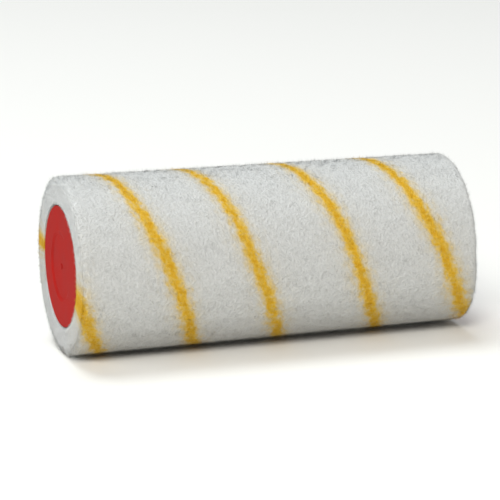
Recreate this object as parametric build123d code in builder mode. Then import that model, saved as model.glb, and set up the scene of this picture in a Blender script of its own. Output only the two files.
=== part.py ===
from build123d import *
from math import atan, cos, pi
import os

# Paint roller refill: a pile-covered drum with two press-in end caps, which turns on an axle
# sleeve. The axle pushes on to the round rod of a roller frame, from the open end. All sizes
# are in millimetres. X is the roller's axis. The closed end is at -X and the rod goes in at
# +X. The origin is the middle of the roller, on its axis, and +Z is up.

# Driving dimensions
roller_length = 180.0       # over the pile
core_diameter = 50.0        # outside of the core tube
pile_height = 13.0          # woven backing and pile together
rod_diameter = 8.0          # rod of the roller frame

# Drum
core_wall = 1.8
core_recess = 2.0           # each end of the core lies this far inside the end of the pile
backing_thickness = 1.0
pile_corner_depth = 5.5     # the outer corners are a quarter of an ellipse, this deep
pile_corner_length = 2.5    # and this long along X
core_radius = core_diameter / 2
core_bore_radius = core_radius - core_wall
backing_radius = core_radius + backing_thickness
pile_radius = core_radius + pile_height
pile_half_length = roller_length / 2
core_half_length = pile_half_length - core_recess

# The cover is one strip of fabric wound on the core in a right-hand helix, edge to edge.
# Two rows of yellow tufts run along the strip, with white tufts on both sides of each.
strip_lead = 83.7           # travel along X in one turn
row_width = 5.5             # along X
first_row_x = -94.7         # where the first yellow row passes the side facing -Y
second_row_x = first_row_x + 44.5
seam_x = (second_row_x + first_row_x + strip_lead) / 2
seam_width = 0.4
winding_spans = 3           # a cut along the winding is made in this many spans,
winding_overrun = 10.0      # goes this far past each end of the roller,
winding_margin = 1.5        # and this far above and below what it cuts

# End caps. "Out" is the distance from the middle of the roller, towards either end.
flange_radius = 26.4
flange_thickness = 1.4
flange_pile_gap = 0.3
flange_edge_radius = 0.45
face_out = core_half_length + flange_thickness
dish_radius = 15.4
dish_depth = 0.6
dish_slope = 1.6            # how far its wall leans in
panel_out = face_out - dish_depth
panel_back_out = panel_out - flange_thickness
panel_rim = 1.0             # the thick panel behind the dish reaches this far past it
panel_radius = dish_radius + panel_rim
gate_pip_radius = 1.2
gate_pip_height = 0.3
plug_clearance = 0.15
plug_radius = core_bore_radius - plug_clearance
plug_wall = 1.65
plug_end_out = 74.0
plug_chamfer = 0.8
crush_rib_count = 12
crush_rib_width = 1.2
crush_rib_clearance = 0.01
crush_rib_radius = core_bore_radius - crush_rib_clearance
crush_rib_start_out = 76.0
web_count = 6
web_thickness = 1.4
web_hub_overlap = 1.0       # each web runs this far into the hub's wall
web_end_out = 77.0

# Axle: a guide tube between two bushes, the journals that the caps turn on
rod_clearance = 0.1
rod_bore_radius = rod_diameter / 2 + rod_clearance
journal_radius = 6.5
journal_clearance = 0.08
hub_wall = 2.2
hub_bore_radius = journal_radius + journal_clearance
hub_radius = hub_bore_radius + hub_wall
hub_end_out = 66.3
end_play = 0.3
collar_radius = 8.4
collar_out = hub_end_out - end_play
collar_thickness = 2.0
bush_end_out = collar_out - collar_thickness
guide_tube_radius = 5.3
open_seat_out = 80.0        # the open end of the guide tube
closed_seat_out = 74.2      # its closed end
open_bush_reach = 0.5       # the open end bush stands this far out of the dished face
open_bush_face_out = panel_out + open_bush_reach
mouth_chamfer = 0.7
socket_end_out = panel_back_out - end_play
socket_floor = 1.7
clip_wire_radius = 0.75
clip_groove_width = 1.8
clip_groove_radius = 4.95
clip_groove_out = 79.5      # the middle of the groove
clip_gap_degrees = 60.0
finger_slot_count = 4
finger_slot_width = 1.0
finger_slot_length = 8.0

closed_end = -1             # the sign of X at each end
open_end = 1


def make_ring(outer, inner, half_length):
    """A plain ring about X, centred on the origin."""
    with BuildPart() as ring:
        with BuildSketch(Plane.YZ.offset(-half_length)):
            Circle(outer)
            Circle(inner, mode=Mode.SUBTRACT)
        extrude(amount=2 * half_length)
    return ring.part


def make_pile_ring():
    """The whole pile: round at its outer corners, and stepped to clear the end caps."""
    step_radius = flange_radius + flange_pile_gap
    corner_x = pile_half_length - pile_corner_length
    corner_radius = pile_radius - pile_corner_depth
    with BuildPart() as ring:
        with BuildSketch(Plane.XY):
            with BuildLine():
                Polyline(
                    (-pile_half_length, corner_radius),
                    (-pile_half_length, step_radius),
                    (-core_half_length, step_radius),
                    (-core_half_length, backing_radius),
                    (core_half_length, backing_radius),
                    (core_half_length, step_radius),
                    (pile_half_length, step_radius),
                    (pile_half_length, corner_radius),
                )
                EllipticalCenterArc(
                    (corner_x, corner_radius),
                    pile_corner_length,
                    pile_corner_depth,
                    start_angle=0,
                    arc_size=90,
                )
                Line((corner_x, pile_radius), (-corner_x, pile_radius))
                EllipticalCenterArc(
                    (-corner_x, corner_radius),
                    pile_corner_length,
                    pile_corner_depth,
                    start_angle=90,
                    arc_size=90,
                )
            make_face()
        revolve(axis=Axis.X)
    return ring.part


def make_winding(crossing_x, width, inner, outer):
    """Spans of a helical band that follows the strip, and passes -Y at crossing_x.

    Its width is measured along X. It cuts right through a layer between the radii inner and outer.
    """
    middle = (inner + outer) / 2
    height = outer - inner + 2 * winding_margin
    slant = atan(strip_lead / (2 * pi * middle))
    start = -pile_half_length - winding_overrun
    span = -2 * start / winding_spans
    spans = []
    for number in range(winding_spans):
        span_start = start + number * span
        with BuildPart() as band:
            with BuildLine() as path:
                Helix(strip_lead, span, middle, center=(span_start, 0, 0), direction=(1, 0, 0))
            foot = path.line @ 0
            outward = (0, foot.Y, foot.Z)
            with BuildSketch(Plane(origin=foot, x_dir=outward, z_dir=path.line % 0)):
                Rectangle(height, width * cos(slant))
            sweep(path=path.line, is_frenet=True)
        # A right-hand helix starts at +Z, a quarter turn before -Y.
        turn = 90 + 360 * (span_start - crossing_x) / strip_lead
        spans.append(band.part.rotate(Axis.X, turn))
    return spans


def make_end_cap(end):
    """An end cap with a blind hub: flange, dished face, ribbed plug, webs and bearing hub."""
    with BuildPart() as cap:
        with BuildSketch(Plane.XY) as section:
            with BuildLine():
                Polyline(
                    (end * panel_out, 0),
                    (end * panel_out, dish_radius - dish_slope),
                    (end * face_out, dish_radius),
                    (end * face_out, flange_radius),
                    (end * core_half_length, flange_radius),
                    (end * core_half_length, plug_radius),
                    (end * (plug_end_out + plug_chamfer), plug_radius),
                    (end * plug_end_out, plug_radius - plug_chamfer),
                    (end * plug_end_out, plug_radius - plug_wall),
                    (end * core_half_length, plug_radius - plug_wall),
                    (end * core_half_length, panel_radius),
                    (end * panel_back_out, panel_radius),
                    (end * panel_back_out, hub_radius),
                    (end * hub_end_out, hub_radius),
                    (end * hub_end_out, hub_bore_radius),
                    (end * panel_back_out, hub_bore_radius),
                    (end * panel_back_out, 0),
                    close=True,
                )
            make_face()
            fillet(section.vertices().group_by(Axis.Y)[-1], radius=flange_edge_radius)
        revolve(axis=Axis.X)

        # Webs stand between the hub and the plug wall, and run back from the flange.
        web_inner = hub_radius - web_hub_overlap
        web_outer = plug_radius - plug_wall / 2
        with BuildSketch(Plane.YZ.offset(end * web_end_out)):
            with PolarLocations((web_inner + web_outer) / 2, web_count):
                Rectangle(web_outer - web_inner, web_thickness)
        extrude(amount=end * (core_half_length - web_end_out))

        # Crush ribs hold the plug in the core tube.
        rib_root = plug_radius - plug_wall / 2
        with BuildSketch(Plane.YZ.offset(end * crush_rib_start_out)):
            with PolarLocations((rib_root + crush_rib_radius) / 2, crush_rib_count):
                Rectangle(crush_rib_radius - rib_root, crush_rib_width)
        extrude(amount=end * (core_half_length - crush_rib_start_out))
    return cap.part


def make_row(windings):
    """One yellow row: the slice of the whole pile that lies inside a winding."""
    slices = [whole_pile & band for band in windings]
    with BuildPart() as row:
        for pile_slice in slices:
            add(pile_slice)
    return row


# The plastic core tube, which everything else of the drum is fixed to.
with BuildPart() as core_tube:
    add(make_ring(core_radius, core_bore_radius, core_half_length))

# The woven backing is one strip, so a fine helical seam runs along it.
with BuildPart() as fabric_backing:
    add(make_ring(backing_radius, core_radius, core_half_length))
    for cutter in make_winding(seam_x, seam_width, core_radius, backing_radius):
        add(cutter, mode=Mode.SUBTRACT)

# White pile, cut through by the two yellow rows. They part it into two helical bands.
whole_pile = make_pile_ring()
first_winding = make_winding(first_row_x, row_width, backing_radius, pile_radius)
second_winding = make_winding(second_row_x, row_width, backing_radius, pile_radius)
with BuildPart() as white_pile:
    add(whole_pile)
    for cutter in first_winding + second_winding:
        add(cutter, mode=Mode.SUBTRACT)
narrow_band, wide_band = white_pile.solids().sort_by(SortBy.VOLUME)
with BuildPart() as white_pile_middle:
    add(wide_band)
with BuildPart() as white_pile_seam:
    add(narrow_band)
first_yellow_row = make_row(first_winding)
second_yellow_row = make_row(second_winding)

# The closed end cap, with a low moulding pip in the middle of its dished face.
with BuildPart() as closed_end_cap:
    add(make_end_cap(closed_end))
    with BuildSketch(Plane.YZ.offset(closed_end * panel_out)):
        Circle(gate_pip_radius)
    extrude(amount=closed_end * gate_pip_height)

# The open end cap is the same moulding with its hub bored through for the bush.
with BuildPart() as open_end_cap:
    add(make_end_cap(open_end))
    with BuildSketch(Plane.YZ.offset(panel_back_out)):
        Circle(hub_bore_radius)
    extrude(amount=flange_thickness, mode=Mode.SUBTRACT)

# The guide tube leads the rod from the open end to the socket at the closed end.
with BuildPart() as guide_tube:
    with BuildSketch(Plane.YZ.offset(-closed_seat_out)):
        Circle(guide_tube_radius)
        Circle(rod_bore_radius, mode=Mode.SUBTRACT)
    extrude(amount=closed_seat_out + open_seat_out)

# The bush at the open end: a journal with a collar, a seat for the guide tube and a flared mouth.
with BuildPart() as open_end_bush:
    with BuildSketch(Plane.XY):
        with BuildLine():
            Polyline(
                (bush_end_out, guide_tube_radius),
                (open_seat_out, guide_tube_radius),
                (open_seat_out, rod_bore_radius),
                (open_bush_face_out - mouth_chamfer, rod_bore_radius),
                (open_bush_face_out, rod_bore_radius + mouth_chamfer),
                (open_bush_face_out, journal_radius),
                (collar_out, journal_radius),
                (collar_out, collar_radius),
                (bush_end_out, collar_radius),
                close=True,
            )
        make_face()
    revolve(axis=Axis.X)

# The socket at the closed end: a blind journal, slotted into fingers that a spring clip squeezes.
with BuildPart() as rod_socket:
    with BuildSketch(Plane.XY):
        with BuildLine():
            Polyline(
                (-bush_end_out, guide_tube_radius),
                (-closed_seat_out, guide_tube_radius),
                (-closed_seat_out, rod_bore_radius),
                (-socket_end_out + socket_floor, rod_bore_radius),
                (-socket_end_out + socket_floor, 0),
                (-socket_end_out, 0),
                (-socket_end_out, journal_radius),
                (-clip_groove_out - clip_groove_width / 2, journal_radius),
                (-clip_groove_out - clip_groove_width / 2, clip_groove_radius),
                (-clip_groove_out + clip_groove_width / 2, clip_groove_radius),
                (-clip_groove_out + clip_groove_width / 2, journal_radius),
                (-collar_out, journal_radius),
                (-collar_out, collar_radius),
                (-bush_end_out, collar_radius),
                close=True,
            )
        make_face()
    revolve(axis=Axis.X)
    with BuildSketch(Plane.YZ.offset(-clip_groove_out - finger_slot_length / 2)):
        with PolarLocations((rod_bore_radius + journal_radius) / 2, finger_slot_count):
            Rectangle(journal_radius, finger_slot_width)
    extrude(amount=finger_slot_length, mode=Mode.SUBTRACT)

# The spring clip: an open ring of round wire that lies in the groove round the fingers.
with BuildPart() as spring_clip:
    with BuildSketch(Plane.XY):
        with Locations((-clip_groove_out, clip_groove_radius + clip_wire_radius)):
            Circle(clip_wire_radius)
    revolve(axis=Axis.X, revolution_arc=360 - clip_gap_degrees)

pieces = {
    "core_tube": core_tube,
    "fabric_backing": fabric_backing,
    "white_pile_middle": white_pile_middle,
    "white_pile_seam": white_pile_seam,
    "first_yellow_row": first_yellow_row,
    "second_yellow_row": second_yellow_row,
    "closed_end_cap": closed_end_cap,
    "open_end_cap": open_end_cap,
    "guide_tube": guide_tube,
    "open_end_bush": open_end_bush,
    "rod_socket": rod_socket,
    "spring_clip": spring_clip,
}

os.makedirs("parts", exist_ok=True)
for name, piece in pieces.items():
    piece.part.label = name
    export_step(piece.part, f"parts/{name}.step")
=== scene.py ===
from math import cos, pi, radians, sin, tau

import bpy
import numpy as np
from mathutils import Matrix, Vector


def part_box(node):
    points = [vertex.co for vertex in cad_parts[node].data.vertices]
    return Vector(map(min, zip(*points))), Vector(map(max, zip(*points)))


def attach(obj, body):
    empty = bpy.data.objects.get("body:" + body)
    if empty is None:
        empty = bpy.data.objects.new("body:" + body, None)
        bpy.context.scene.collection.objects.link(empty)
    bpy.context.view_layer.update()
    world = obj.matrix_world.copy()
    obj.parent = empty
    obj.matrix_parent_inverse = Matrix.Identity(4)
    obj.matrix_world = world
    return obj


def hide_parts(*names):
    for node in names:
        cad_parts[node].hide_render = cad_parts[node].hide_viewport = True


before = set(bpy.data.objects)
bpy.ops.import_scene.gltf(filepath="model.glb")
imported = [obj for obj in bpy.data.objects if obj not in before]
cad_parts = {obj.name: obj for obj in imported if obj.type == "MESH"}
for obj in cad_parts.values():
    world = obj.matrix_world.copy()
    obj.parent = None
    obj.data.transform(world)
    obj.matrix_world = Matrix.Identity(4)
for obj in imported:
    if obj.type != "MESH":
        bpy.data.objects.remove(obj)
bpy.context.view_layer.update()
MM = 0.001
rng = np.random.default_rng(18)

# Sizes, in millimetres, from the frame's own boxes
pile_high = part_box("white_pile_middle")[1]
PILE_RADIUS = pile_high[2] / MM
PILE_END = pile_high[0] / MM
ROOT_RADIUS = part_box("fabric_backing")[1][2] / MM
ROOT_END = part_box("core_tube")[1][0] / MM
FLANGE_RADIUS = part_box("closed_end_cap")[1][2] / MM

# The strip winds in a right-hand helix with two yellow rows, as in the CAD.
LEAD = 83.7
ROW_CROSSINGS = (-94.7, -50.2)      # where each row passes the side that faces -Y
ROW_HALF_WIDTH = 2.75
ROW_RAGGED = 0.9                    # how far a row's small lumps push it aside
ROW_WIDTHS = (0.87, 0.18, 0.28)     # its share of that width: mean, round the roller, in lumps
ROW_WIDEST_ANGLE = 0.2              # in radians, from -Y down
ROW_STRENGTHS = (0.88, 0.2)         # its strength: mean, and in lumps
ROW_EDGE_POWER = 3                  # how sharply its colour fades at the edge

# How far the rows stray along X from a true helix
WANDER_ENDS = 2.6                   # at both ends, by the square of the distance from the middle
WANDER_SHIFT = -0.45                # all over
WANDER_ROUND = 0.5                  # twice in each turn
WANDER_LUMP = (0.6, -78.0, 6.0)     # near the closed end: its size, place and width
WANDER_EDGE = (-1.5, 7.0)           # at the closed end's edge: its size, and how soon it fades
WANDER_WAVES = ((0.3, 9, 2), (0.2, 4, -3))  # size, length over tau, and crests in each turn

# The pile's own shape
FULLER_MIDDLE = 0.35                # how much fuller the pile stands at the middle than the CAD,
FULLER_SLOPE = -0.0075              # and how that changes with each mm along X
BULGE = 4.2                         # how far it bulges out along X, low at the open end,
BULGE_START = 70                    # from here
BULGE_LENGTH = 20                   # and over this length

# Tufts and strands
TUFT_PITCH_X = LEAD / 66            # a whole number of tufts in each turn
TUFTS_AROUND = 190
TUFT_JITTER = 0.2                   # how unevenly the tufts stand
TUFT_REACH = 0.95                   # how far a tuft's tips spread from its middle,
ROOT_SHARE = 0.7                    # and its roots this share of that
TUFT_LEAN_ROUND = 0.2               # all the tufts lean a little, down on the side facing -Y
TUFT_LEANS_X = (0.08, 0.15)         # how unevenly they lean along X: in large lumps, one by one
TUFT_LEANS_ROUND = (0.1, 0.2)       # and round the roller
TUFT_HEIGHTS = (0.12, 0.06)         # how unevenly they stand up: in small lumps, one by one
TUFT_SHADES = 0.35                  # how unevenly a row's tufts are dyed, and the strands
STRAND_SHADES = 0.06                # within one tuft
LUMP_LENGTH = 2.2                   # the size of the cover's small lumps,
LARGE_LUMP_LENGTH = 7.0             # and of its large ones
STRANDS_PER_TUFT = 16
STRAND_WIDTHS = (0.05, 0.09)
STRAND_ROOT_DEPTH = 1.9
STRAND_SCATTER = 0.12               # how far a strand's tip is from its place on the cover,
STRAND_UNEVENNESS = 0.15            # and from its height
STRAY_SHARE = 0.09                  # this share of the strands stands up out of the rest,
STRAY_HEIGHTS = (0.2, 1.3)          # by this much
UNDER_DEPTH = 0.45                  # the matted under-pile lies this far below the tips
CORNER_DEPTHS = (3.8, 4.6)          # the outer corners, at the closed end and at the open one,
CORNER_LENGTHS = (1.8, 2.3)         # are a quarter of an ellipse
FAN_SHARE = 0.9                     # how much of a corner's depth the fanned tufts come from
YELLOW_TINT = 0.5                   # pile more yellow than this belongs to a yellow row
STRAND_SOFTNESS = 0.85              # how far a strand takes its light as part of the cover
TUFT_TILT = 0.9                     # how unevenly the tufts face, in small lumps
END_TURN = 0.35                     # how far the tufts at the ends take their light from the end

# Nap across the ends
NAP_STRANDS = 9000
NAP_WIDTHS = (0.1, 0.2)
NAP_ROOT_DEPTH = 1.6
NAP_ROOT_GAPS = (0.5, 1.0)          # its roots start this far outside the cap's flange, and
                                    # end this far past where the pile's corner begins
NAP_LEAN = (0.5, 1.3)               # how far its strands lean outwards: the mean and the spread,
NAP_LEAN_LIMITS = (-2.5, 4.0)       # and at most
NAP_CAP_PULL = 1.5                  # the strands by the cap lean in over it by this much more,
NAP_CAP_REACH = 1.5                 # fading out over this distance
NAP_BULGES = (-0.4, 0.5)            # how far its tips stand past the end of the pile
NAP_SHADES = 0.15                   # how unevenly the rows' part of it is dyed
NAP_CAP_GAP = 0.3                   # its tips stop about this far outside the cap's flange,
NAP_CAP_RAGGED = 0.3                # and at most this much further out

# The pile's colour by its tint, from white through pale yellow to the middle of a yellow row
PILE_COLORS = [
    (0.0, (0.565, 0.568, 0.556)),
    (0.13, (0.57, 0.53, 0.44)),
    (0.35, (0.59, 0.48, 0.28)),
    (0.6, (0.63, 0.44, 0.12)),
    (0.8, (0.63, 0.385, 0.04)),
    (1.0, (0.59, 0.32, 0.018)),
]
RED = (0.33, 0.009, 0.006)
BUSH_COLOR = (0.72, 0.72, 0.69)
CORE_COLOR = (0.70, 0.70, 0.68)
BACKING_COLORS = ((0.42, 0.41, 0.37), (0.70, 0.69, 0.64))   # between the threads and on them
STEEL_COLOR = (0.56, 0.56, 0.57)

# Stage
FLOOR_SIZE = 3.0                    # metres
FLOOR_DEPTH = 1.1                   # how far it lies below the CAD's pile, for the fuller end
WORLD_GLOW = 0.26                   # the light from all round, which looks white past the floor
KEY_PLACE = (-1.3, -2.72, 2.36)
TOP_PLACE = (-0.4, 0.75, 3.1)
SIDE_PLACE = (-2.6, -0.3, 0.9)


def wander(x, angle):
    """How far the strip's rows stray along X from a true helix."""
    total = WANDER_ENDS * (x / PILE_END) ** 2 + WANDER_SHIFT + WANDER_ROUND * np.sin(2 * angle)
    size, place, width = WANDER_LUMP
    total = total + size * np.exp(-((x - place) / width) ** 2)
    size, fade = WANDER_EDGE
    total = total + size * np.exp(-(x + PILE_END) / fade)
    for size, length, crests in WANDER_WAVES:
        total = total + size * np.sin(x / length + crests * angle)
    return total


def helix_offset(x, angle):
    """Distance along X from the first yellow row, from 0 to one lead. Angle runs from -Y down."""
    return np.mod(x - wander(x, angle) - ROW_CROSSINGS[0] - LEAD * angle / tau, LEAD)


def yellow_distance(x, angle):
    """Distance along X past the nearer row's middle line, and whether it is the second row."""
    offset = helix_offset(x, angle)
    past_first = np.where(offset > LEAD / 2, offset - LEAD, offset)
    past_second = offset - (ROW_CROSSINGS[1] - ROW_CROSSINGS[0])
    is_second = np.abs(past_second) < np.abs(past_first)
    return np.where(is_second, past_second, past_first), is_second


def row_tint(x, angle):
    """How yellow the pile is: strong in a row's middle, half at its edge, faint further out."""
    past, _ = yellow_distance(x, angle)
    middle = ROW_RAGGED * smooth_noise(x, angle, LUMP_LENGTH, seed=6)
    mean, round_roller, lumps = ROW_WIDTHS
    width = mean + round_roller * np.cos(angle - ROW_WIDEST_ANGLE)
    width = width + lumps * smooth_noise(x, angle, 1.7, seed=7)
    mean, lumps = ROW_STRENGTHS
    strength = mean + lumps * smooth_noise(x, angle, 1.8, seed=12)
    edge = np.abs(past + middle) / (ROW_HALF_WIDTH * width)
    return strength / (1 + edge ** ROW_EDGE_POWER)


def make_mesh(name, points, faces):
    """A mesh object from an array of points in millimetres and an array of faces."""
    mesh = bpy.data.meshes.new(name)
    mesh.vertices.add(len(points))
    mesh.vertices.foreach_set("co", (points * MM).ravel())
    corners = faces.shape[1]
    mesh.loops.add(faces.size)
    mesh.loops.foreach_set("vertex_index", faces.ravel().astype(np.int32))
    mesh.polygons.add(len(faces))
    mesh.polygons.foreach_set("loop_start", np.arange(0, faces.size, corners, dtype=np.int32))
    mesh.update(calc_edges=True)
    piece = bpy.data.objects.new(name, mesh)
    bpy.context.collection.objects.link(piece)
    return piece


def set_tint(piece, tint):
    """How yellow each point of a piece of pile is, for its material."""
    layer = piece.data.attributes.new("tint", "FLOAT", "POINT")
    layer.data.foreach_set("value", tint.astype(np.float32))


def set_normals(piece, normals):
    """Which way each point of a piece of pile takes its light from."""
    layer = piece.data.attributes.new("custom_normal", "FLOAT_VECTOR", "POINT")
    layer.data.foreach_set("vector", normals.astype(np.float32).ravel())


def set_bake_map(piece, spots):
    """The map named OFBake that colours can be baked to, as a spot for each corner."""
    layer = piece.data.uv_layers.new(name="OFBake")
    layer.data.foreach_set("uv", spots.astype(np.float32).ravel())


def around(x, radius, angle):
    """Points on the pile from a place along X, a radius and an angle that runs from -Y down to -Z.

    The pile stands a little fuller towards the closed end, and bulges out under the open end.
    """
    share = np.clip((radius - ROOT_RADIUS) / (PILE_RADIUS - ROOT_RADIUS), 0, 1)
    fuller = FULLER_MIDDLE + FULLER_SLOPE * x
    low = np.clip(np.sin(angle), 0, 1)
    bulge = BULGE * low * np.clip((x - BULGE_START) / BULGE_LENGTH, 0, 1)
    x, radius = x + share * bulge, radius + share * fuller
    return np.stack([x, -radius * np.cos(angle), -radius * np.sin(angle)], axis=-1)


def smooth_noise(x, angle, scale, seed):
    """Smooth noise over the cover, between about -1 and 1, with lumps of about scale mm."""
    draw = np.random.default_rng(seed)
    total = np.zeros(np.broadcast(x, angle).shape)
    waves = 14
    two_spreads = 1.4                   # twice the sum's spread, over the root of their number
    for _ in range(waves):
        around_count = int(round(draw.normal() * tau * PILE_RADIUS / scale / 2))
        along = draw.normal() * tau / scale / 2
        total += np.sin(along * x + around_count * angle + draw.uniform(0, tau))
    return total / waves ** 0.5 / two_spreads


def outline(depth):
    """The pile's outer outline at a depth below the tips: distance out and radius."""
    end = PILE_END - depth
    radius = PILE_RADIUS - depth
    turn = np.linspace(0, pi / 2, 9)
    face_count = 6                      # points up each end's face,
    side_count = 170                    # and along the side
    face_start = ROOT_RADIUS + 0.6
    ends = []
    for rise, length in zip(CORNER_DEPTHS, CORNER_LENGTHS):
        rise, length = rise - depth / 2, length - depth / 2
        face = np.linspace(face_start, radius - rise, face_count + 1)[:-1]
        end_x = np.concatenate([np.full(face.size, end), end - length + length * np.cos(turn)])
        end_r = np.concatenate([face, radius - rise + rise * np.sin(turn)])
        ends.append((end_x, end_r))
    (closed_x, closed_r), (open_x, open_r) = ends
    side = np.linspace(-closed_x[-1], open_x[-1], side_count + 2)[1:-1]
    x = np.concatenate([-closed_x, side, open_x[::-1]])
    r = np.concatenate([closed_r, np.full(side.size, radius), open_r[::-1]])
    return x, r


def make_under_pile():
    """The matted under-pile, a closed ring that fills the tufts' gaps, as white and yellow."""
    count = 240                         # points round the roller
    inner_count = 38                    # and along the inside, just clear of the backing
    inner_radius = ROOT_RADIUS + 0.05
    unevenness = 0.1
    x, r = outline(UNDER_DEPTH)
    inner_x = np.linspace(x[-1], x[0], inner_count + 2)[1:-1]
    x = np.concatenate([x, inner_x])
    r = np.concatenate([r, np.full(inner_x.size, inner_radius)])
    angle = np.arange(count) / count * tau
    grid_x, grid_angle = np.meshgrid(x, angle, indexing="ij")
    grid_r = np.broadcast_to(r[:, None], grid_x.shape).copy()
    outside = grid_r > ROOT_RADIUS + 1
    grid_r += np.where(outside, unevenness * smooth_noise(grid_x, grid_angle, 3.0, seed=1), 0)
    points = around(grid_x, grid_r, grid_angle).reshape(-1, 3)
    tint = row_tint(grid_x, grid_angle).ravel()

    # Which way it faces: the side, the ends, and a smooth turn between them over corner_turn mm
    corner_turn = 3
    to_side = np.array([0.0, 1.0, 1.0]) * points
    to_side /= np.linalg.norm(to_side, axis=1, keepdims=True)
    to_end = np.array([1.0, 0.0, 0.0]) * np.sign(points)
    on_end = (grid_x.ravel() ** 2 > (PILE_END - UNDER_DEPTH - 0.1) ** 2)[:, None]
    near_end = np.clip((np.abs(points[:, :1]) - PILE_END + corner_turn) / corner_turn, 0, 1)
    facing = np.where(on_end, to_end + 0.15 * to_side, to_side + 0.5 * near_end * to_end)
    facing = np.where(outside.ravel()[:, None], facing, -to_side)
    facing /= np.linalg.norm(facing, axis=1, keepdims=True)

    # Two triangles for each square of the grid, and their corners' spots on the bake map
    row = np.arange(x.size)[:, None]
    col = np.arange(count)[None, :]
    next_row = (row + 1) % x.size
    next_col = (col + 1) % count
    a, b = row * count + col, row * count + next_col
    c, d = next_row * count + next_col, next_row * count + col
    faces = np.concatenate([np.stack([a, b, c], axis=-1), np.stack([a, c, d], axis=-1)])
    faces = faces.reshape(-1, 3)
    row, col = row + 0 * col, col + 0 * row
    across = np.stack([row, row, row + 1], axis=-1)
    along = np.stack([col, col + 1, col + 1], axis=-1)
    across_other = np.stack([row, row + 1, row + 1], axis=-1)
    along_other = np.stack([col, col + 1, col], axis=-1)
    map_u = np.concatenate([across, across_other]).reshape(-1, 3) / x.size
    map_v = np.concatenate([along, along_other]).reshape(-1, 3) / count
    spots = np.stack([map_u, map_v], axis=-1)

    middle = points[faces].mean(axis=1)
    face_angle = np.arctan2(-middle[:, 2], -middle[:, 1])
    _, second = yellow_distance(middle[:, 0], face_angle)
    between = helix_offset(middle[:, 0], face_angle) < ROW_CROSSINGS[1] - ROW_CROSSINGS[0]
    yellow = tint[faces].mean(axis=1) > YELLOW_TINT
    groups = {
        "under_white_middle": ("white_pile_middle", ~yellow & between),
        "under_white_seam": ("white_pile_seam", ~yellow & ~between),
        "under_yellow_first": ("first_yellow_row", yellow & ~second),
        "under_yellow_second": ("second_yellow_row", yellow & second),
    }
    for name, (node, chosen) in groups.items():
        used, renumbered = np.unique(faces[chosen], return_inverse=True)
        piece = make_mesh(name, points[used], renumbered.reshape(-1, 3))
        set_bake_map(piece, spots[chosen])
        set_tint(piece, tint[used])
        set_normals(piece, facing[used])
        piece.data.materials.append(matted_pile)
        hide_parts(node)
        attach(piece, "drum")


def make_strands(name, root, tip, width, outward, tint):
    """Thin three-sided strands, each from its root to a pointed tip, as one piece.

    Fine pile scatters light, so the strands' normals turn towards the way that the cover faces.
    """
    count = len(root)
    way = tip - root
    way /= np.linalg.norm(way, axis=1, keepdims=True)
    aslant = np.array([0.3, 0.5, 0.8])  # any way that isn't a strand's own
    side = np.cross(way, aslant)
    side /= np.linalg.norm(side, axis=1, keepdims=True)
    other = np.cross(way, side)
    spin = rng.uniform(0, tau, count)[:, None]
    points = np.empty((count, 4, 3))
    normals = np.empty((count, 4, 3))
    for corner in range(3):
        turn = spin + corner * tau / 3
        sideways = np.cos(turn) * side + np.sin(turn) * other
        points[:, corner] = root + width[:, None] * sideways
        normals[:, corner] = STRAND_SOFTNESS * outward + (1 - STRAND_SOFTNESS) * sideways
    points[:, 3] = tip
    normals[:, 3] = outward
    normals /= np.linalg.norm(normals, axis=2, keepdims=True)
    start = np.arange(count)[:, None, None] * 4
    faces = start + np.array([[0, 1, 3], [1, 2, 3], [2, 0, 3]])
    piece = make_mesh(name, points.reshape(-1, 3), faces.reshape(-1, 3))
    set_normals(piece, normals)
    set_tint(piece, np.repeat(tint, 4))

    # Each strand has its own small square of the map, with its root at one side and its tip
    # at the other.
    squares = int(np.ceil(count ** 0.5))
    place = np.arange(count)
    corner = np.stack([place % squares, place // squares], axis=-1)[:, None, None, :]
    shape = np.array([[0.1, 0.1], [0.9, 0.1], [0.5, 0.9]])
    spots = np.broadcast_to(corner + shape, (count, 3, 3, 2)) / squares
    set_bake_map(piece, spots)
    return piece


def fanned(x, height, angle):
    """Points on the cover at a height over its outline. Near the ends the pile fans outwards."""
    corner_depth = np.where(x < 0, *CORNER_DEPTHS)
    corner_length = np.where(x < 0, *CORNER_LENGTHS)
    fan = corner_depth * FAN_SHARE
    side_end = PILE_END - corner_length
    start = ROOT_END - fan
    beyond = np.clip((np.abs(x) - start) / fan, 0, 1)
    turn = beyond * pi / 2
    flat_x = np.abs(x) * side_end / start
    out = np.where(beyond > 0, side_end + (corner_length + height) * np.sin(turn), flat_x)
    drop = (corner_depth + height) * (1 - np.cos(turn))
    return around(np.sign(x) * out, PILE_RADIUS + height - drop, angle)


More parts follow.
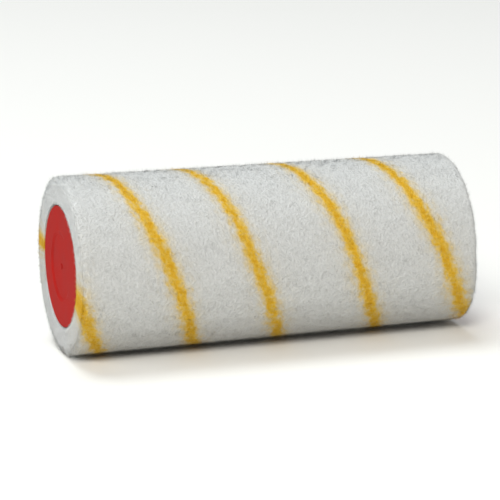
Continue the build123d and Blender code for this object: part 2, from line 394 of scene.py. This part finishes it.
def make_tufts():
    """The tufts' strands, in rows along the strip, as four white pieces and a yellow one."""
    rows = int((2 * ROOT_END + LEAD) / TUFT_PITCH_X) + 4    # more than enough each way
    row = np.arange(-rows, rows)
    col = np.arange(TUFTS_AROUND)
    row, col = [m.ravel() for m in np.meshgrid(row, col)]
    angle = (col + 0.5 * (row % 2)) / TUFTS_AROUND * tau
    x = row * TUFT_PITCH_X + ROW_CROSSINGS[0] + LEAD * angle / tau
    inside = np.abs(x) < ROOT_END
    x, angle = x[inside], angle[inside]
    x = x + rng.normal(0, TUFT_JITTER, x.size)
    angle = angle + rng.normal(0, TUFT_JITTER, x.size) / PILE_RADIUS
    tuft = np.repeat(np.arange(x.size), STRANDS_PER_TUFT)
    spread = TUFT_REACH * np.sqrt(rng.uniform(0, 1, tuft.size))
    heading = rng.uniform(0, tau, tuft.size)
    lumps, alone = TUFT_LEANS_X
    lean_x = lumps * smooth_noise(x, angle, LARGE_LUMP_LENGTH, seed=3)
    lean_x = lean_x + rng.normal(0, alone, x.size)
    lumps, alone = TUFT_LEANS_ROUND
    lean_round = TUFT_LEAN_ROUND + lumps * smooth_noise(x, angle, LARGE_LUMP_LENGTH, seed=4)
    lean_round = lean_round + rng.normal(0, alone, x.size)
    lumps, alone = TUFT_HEIGHTS
    height = lumps * smooth_noise(x, angle, LUMP_LENGTH, seed=5) + rng.normal(0, alone, x.size)
    scatter_x = rng.normal(0, STRAND_SCATTER, tuft.size)
    scatter_round = rng.normal(0, STRAND_SCATTER, tuft.size)
    tip_x = x[tuft] + spread * np.cos(heading) + lean_x[tuft] + scatter_x
    tip_round = spread * np.sin(heading) + lean_round[tuft] + scatter_round
    tip_angle = angle[tuft] + tip_round / PILE_RADIUS
    stray = rng.uniform(0, 1, tuft.size) < STRAY_SHARE
    tip_height = height[tuft] + rng.normal(0, STRAND_UNEVENNESS, tuft.size)
    tip_height += np.where(stray, rng.uniform(*STRAY_HEIGHTS, tuft.size), 0)
    root_x = x[tuft] + ROOT_SHARE * spread * np.cos(heading)
    root_angle = angle[tuft] + ROOT_SHARE * spread * np.sin(heading) / PILE_RADIUS
    tip = fanned(tip_x, tip_height, tip_angle)
    root = fanned(root_x, np.full(tuft.size, -STRAND_ROOT_DEPTH), root_angle)
    tilt_x = TUFT_TILT * smooth_noise(x, angle, LUMP_LENGTH, seed=10)[tuft]
    tilt_round = TUFT_TILT * smooth_noise(x, angle, LUMP_LENGTH, seed=11)[tuft]
    outward = around(0 * tip_x, 1, tip_angle + tilt_round)
    outward[:, 0] = END_TURN * (fanned(tip_x, tip_height + 1, tip_angle) - tip)[:, 0] + tilt_x
    outward /= np.linalg.norm(outward, axis=1, keepdims=True)

    # The rows' strands mix with the white ones at the edges, and each tuft has its own shade.
    faintest = 0.12                     # below this, a strand looks nearly white
    on_cover = fanned(x, 0, angle)[:, 0]
    shade = row_tint(on_cover, angle)
    shade = shade + rng.normal(0, TUFT_SHADES, x.size) * np.sqrt(shade)
    tint = np.clip(shade[tuft] + rng.normal(0, STRAND_SHADES, tuft.size), 0, 1)
    tint = np.where(tint < faintest, 0.5 * tint, tint)
    yellow = tint >= YELLOW_TINT
    for name, chosen, parts in (("white", ~yellow, 4), ("yellow", yellow, 1)):
        index = np.flatnonzero(chosen)
        order = np.argsort(root[index, 0])
        for number, part in enumerate(np.array_split(index[order], parts)):
            width = rng.uniform(*STRAND_WIDTHS, part.size)
            title = f"{name}_tufts_{number + 1}"
            piece = make_strands(title, root[part], tip[part], width, outward[part], tint[part])
            piece.data.materials.append(pile)
            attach(piece, "drum")


def make_end_nap(end):
    """Long strands that lie across the end of the pile, some over the edge of the end cap."""
    count = NAP_STRANDS
    angle = rng.uniform(0, tau, count)
    lowest = FLANGE_RADIUS + NAP_ROOT_GAPS[0]
    highest = PILE_RADIUS - CORNER_DEPTHS[end > 0] + NAP_ROOT_GAPS[1]
    root_r = lowest + (highest - lowest) * rng.uniform(0, 1, count)
    at_cap = np.exp(-(root_r - lowest) / NAP_CAP_REACH)
    lean = rng.normal(*NAP_LEAN, count) - NAP_CAP_PULL * at_cap
    tip_r = root_r + np.clip(lean, *NAP_LEAN_LIMITS)
    ragged = 0.35 * smooth_noise(0 * angle, angle, 3.0, seed=8)
    ragged = ragged + 0.25 * smooth_noise(0 * angle, angle, 8.0, seed=9)
    tip_r = np.maximum(tip_r, FLANGE_RADIUS + NAP_CAP_GAP + np.minimum(ragged, NAP_CAP_RAGGED))
    bulge = rng.uniform(*NAP_BULGES, count) + (0.7 * ragged - 0.1) * at_cap
    tip_angle = angle + rng.normal(0, 0.03, count)
    root = around(np.full(count, end * (PILE_END - NAP_ROOT_DEPTH)), root_r, angle)
    tip = around(end * (PILE_END + bulge), tip_r, tip_angle)
    name = "closed_end_nap" if end < 0 else "open_end_nap"
    outward = np.tile([end, 0.0, 0.0], (count, 1)) + 0.15 * around(0 * angle, 1, angle)
    outward /= np.linalg.norm(outward, axis=1, keepdims=True)
    tint = row_tint(end * PILE_END + 0 * angle, angle)
    tint = np.clip(tint + rng.normal(0, NAP_SHADES, count) * np.sqrt(tint), 0, 1)
    width = rng.uniform(*NAP_WIDTHS, count)
    piece = make_strands(name, root, tip, width, outward, tint)
    piece.data.materials.append(pile)
    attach(piece, "drum")


def principled(name, color, roughness):
    """A new material with a plain colour and roughness, its node tree and its shader."""
    material = bpy.data.materials.new(name)
    material.use_nodes = True
    shader = material.node_tree.nodes["Principled BSDF"]
    shader.inputs["Base Color"].default_value = (*color, 1)
    shader.inputs["Roughness"].default_value = roughness
    return material, material.node_tree, shader


def add_noise(tree, scale, detail, stretch=(1, 1, 1)):
    """Noise in the piece's own space. The scale is in lumps per metre."""
    place = tree.nodes.new("ShaderNodeTexCoord")
    squeeze = tree.nodes.new("ShaderNodeMapping")
    squeeze.inputs["Scale"].default_value = stretch
    noise = tree.nodes.new("ShaderNodeTexNoise")
    noise.inputs["Scale"].default_value = scale
    noise.inputs["Detail"].default_value = detail
    tree.links.new(place.outputs["Object"], squeeze.inputs["Vector"])
    tree.links.new(squeeze.outputs["Vector"], noise.inputs["Vector"])
    return noise.outputs["Fac"]


def add_ramp(tree, source, stops):
    """A colour ramp on a source, from its stops: a position and a colour each."""
    ramp = tree.nodes.new("ShaderNodeValToRGB")
    elements = ramp.color_ramp.elements
    while len(elements) < len(stops):
        elements.new(0.5)
    for element, (position, color) in zip(elements, stops):
        element.position = position
        element.color = (*color, 1)
    tree.links.new(source, ramp.inputs["Fac"])
    return ramp.outputs["Color"]


def add_range(tree, source, low, high):
    """A source that runs from 0 to 1, spread from low to high."""
    spread = tree.nodes.new("ShaderNodeMapRange")
    spread.inputs["To Min"].default_value = low
    spread.inputs["To Max"].default_value = high
    tree.links.new(source, spread.inputs["Value"])
    return spread.outputs["Result"]


def add_bump(tree, shader, source, strength, depth):
    """A bump on a shader's surface, at most depth millimetres deep."""
    bump = tree.nodes.new("ShaderNodeBump")
    bump.inputs["Strength"].default_value = strength
    bump.inputs["Distance"].default_value = depth * MM
    tree.links.new(source, bump.inputs["Height"])
    tree.links.new(bump.outputs["Normal"], shader.inputs["Normal"])


def pile_material(name, by_strand, low, high):
    """Dyed pile: white to yellow by its tint, and lighter or darker from place to place."""
    material, tree, shader = principled(name, PILE_COLORS[0][1], roughness=0.95)
    shader.inputs["Specular IOR Level"].default_value = 0.1
    tint = tree.nodes.new("ShaderNodeAttribute")
    tint.attribute_name = "tint"
    dye = add_ramp(tree, tint.outputs["Fac"], PILE_COLORS)
    if by_strand:
        source = tree.nodes.new("ShaderNodeNewGeometry").outputs["Random Per Island"]
    else:
        source = add_noise(tree, scale=900, detail=5)
        add_bump(tree, shader, source, strength=1.0, depth=0.7)
    shade = tree.nodes.new("ShaderNodeHueSaturation")
    tree.links.new(dye, shade.inputs["Color"])
    tree.links.new(add_range(tree, source, low, high), shade.inputs["Value"])
    tree.links.new(shade.outputs["Color"], shader.inputs["Base Color"])
    return material


def plastic_material(name, color, roughness, grain):
    """Moulded plastic: a fine grain in its surface, and slightly uneven colour and gloss."""
    material, tree, shader = principled(name, color, roughness)
    cloud = add_noise(tree, scale=90, detail=4)
    dull = [0.9 * c for c in color]
    fresh = [min(1, 1.06 * c) for c in color]
    shade = add_ramp(tree, cloud, [(0.3, dull), (0.75, fresh)])
    tree.links.new(shade, shader.inputs["Base Color"])
    gloss = add_range(tree, cloud, roughness - 0.1, roughness + 0.1)
    tree.links.new(gloss, shader.inputs["Roughness"])
    add_bump(tree, shader, add_noise(tree, scale=1800, detail=2), grain, depth=0.2)
    return material


def woven_material(name, low, high, threads):
    """Woven backing: threads that run round the roller cross threads that run along it."""
    material, tree, shader = principled(name, high, roughness=0.9)
    place = tree.nodes.new("ShaderNodeTexCoord").outputs["Object"]
    weave = None
    for direction in ("X", "Z"):
        bands = tree.nodes.new("ShaderNodeTexWave")
        bands.bands_direction = direction
        bands.inputs["Scale"].default_value = threads
        bands.inputs["Distortion"].default_value = 0.6
        tree.links.new(place, bands.inputs["Vector"])
        if weave is None:
            weave = bands.outputs["Fac"]
        else:
            crossed = tree.nodes.new("ShaderNodeMath")
            crossed.operation = "MULTIPLY"
            tree.links.new(weave, crossed.inputs[0])
            tree.links.new(bands.outputs["Fac"], crossed.inputs[1])
            weave = crossed.outputs["Value"]
    shade = add_ramp(tree, weave, [(0.0, low), (0.6, high)])
    tree.links.new(shade, shader.inputs["Base Color"])
    add_bump(tree, shader, weave, strength=0.7, depth=0.3)
    return material


def wire_material(name, color, roughness):
    """Drawn spring wire: bright metal with fine streaks."""
    material, tree, shader = principled(name, color, roughness)
    shader.inputs["Metallic"].default_value = 1
    streaks = add_noise(tree, scale=900, detail=3, stretch=(6, 1, 1))
    tone = add_ramp(tree, streaks, [(0.3, [0.8 * c for c in color]), (0.7, color)])
    tree.links.new(tone, shader.inputs["Base Color"])
    gloss = add_range(tree, streaks, roughness - 0.08, roughness + 0.12)
    tree.links.new(gloss, shader.inputs["Roughness"])
    return material


def dress(node, material):
    """Gives a carried-over CAD node its finished material."""
    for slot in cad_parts[node].material_slots:
        slot.material = material


def soft_box(name, place, size, power, color):
    """A square area light at a place, aimed at the roller."""
    data = bpy.data.lights.new(name, "AREA")
    data.size = size
    data.energy = power
    data.color = color
    lamp = bpy.data.objects.new(name, data)
    bpy.context.collection.objects.link(lamp)
    lamp.location = place
    lamp.rotation_euler = (-Vector(place)).to_track_quat("-Z", "Y").to_euler()


def make_camera():
    """The camera, at the photograph's viewing angle, aimed a little off the roller's middle."""
    azimuth = radians(-18.91)
    elevation = radians(13.41)
    distance = 1.2
    aim_right = -3.11
    aim_up = 0.40
    back = Vector((sin(azimuth) * cos(elevation), -cos(azimuth) * cos(elevation), sin(elevation)))
    right = (-back).cross(Vector((0, 0, 1))).normalized()
    up = right.cross(-back)
    aim = (aim_right * right + aim_up * up) * MM
    place = distance * back
    away = (place - aim).normalized()
    level = Vector((0, 0, 1)).cross(away).normalized()
    data = bpy.data.cameras.new("camera")
    data.lens = 196.3
    data.sensor_width = 36
    data.clip_start = 0.01
    camera = bpy.data.objects.new("camera", data)
    bpy.context.collection.objects.link(camera)
    turn = Matrix((level, away.cross(level), away)).transposed()
    camera.matrix_world = Matrix.Translation(place) @ turn.to_4x4()
    bpy.context.scene.camera = camera


pile = pile_material("pile", by_strand=True, low=0.95, high=1.05)
matted_pile = pile_material("matted pile", by_strand=False, low=0.85, high=1.15)
red = plastic_material("red plastic", RED, roughness=0.7, grain=0.15)
red.node_tree.nodes["Principled BSDF"].inputs["Specular IOR Level"].default_value = 0.08
pale = plastic_material("bush plastic", BUSH_COLOR, roughness=0.38, grain=0.1)
core = plastic_material("core plastic", CORE_COLOR, roughness=0.5, grain=0.1)
backing = woven_material("woven backing", *BACKING_COLORS, threads=550)
steel = wire_material("spring steel", STEEL_COLOR, roughness=0.28)

make_under_pile()
make_tufts()
make_end_nap(-1)
make_end_nap(1)

dress("closed_end_cap", red)
dress("open_end_cap", red)
dress("core_tube", core)
dress("fabric_backing", backing)
dress("guide_tube", pale)
dress("open_end_bush", pale)
dress("rod_socket", pale)
dress("spring_clip", steel)

# Floor and light
floor_height = -(PILE_RADIUS + FLOOR_DEPTH) * MM
bpy.ops.mesh.primitive_plane_add(size=FLOOR_SIZE, location=(0, 0, floor_height))
floor = bpy.context.object
floor.name = "floor"
floor.data.materials.append(principled("floor", (0.88, 0.86, 0.82), roughness=0.9)[0])

world = bpy.data.worlds.new("world")
bpy.context.scene.world = world
world.use_nodes = True
sky = world.node_tree.nodes["Background"]
sky.inputs["Color"].default_value = (1, 1, 1, 1)
seen = world.node_tree.nodes.new("ShaderNodeLightPath").outputs["Is Camera Ray"]
glow = add_range(world.node_tree, seen, WORLD_GLOW, 1.0)
world.node_tree.links.new(glow, sky.inputs["Strength"])
soft_box("key", KEY_PLACE, size=1.3, power=91, color=(1.0, 0.985, 0.95))
soft_box("top", TOP_PLACE, size=1.8, power=64, color=(0.88, 0.95, 1.0))
soft_box("side", SIDE_PLACE, size=1.2, power=34, color=(0.90, 0.96, 1.0))
bpy.context.scene.view_settings.view_transform = "Standard"
make_camera()
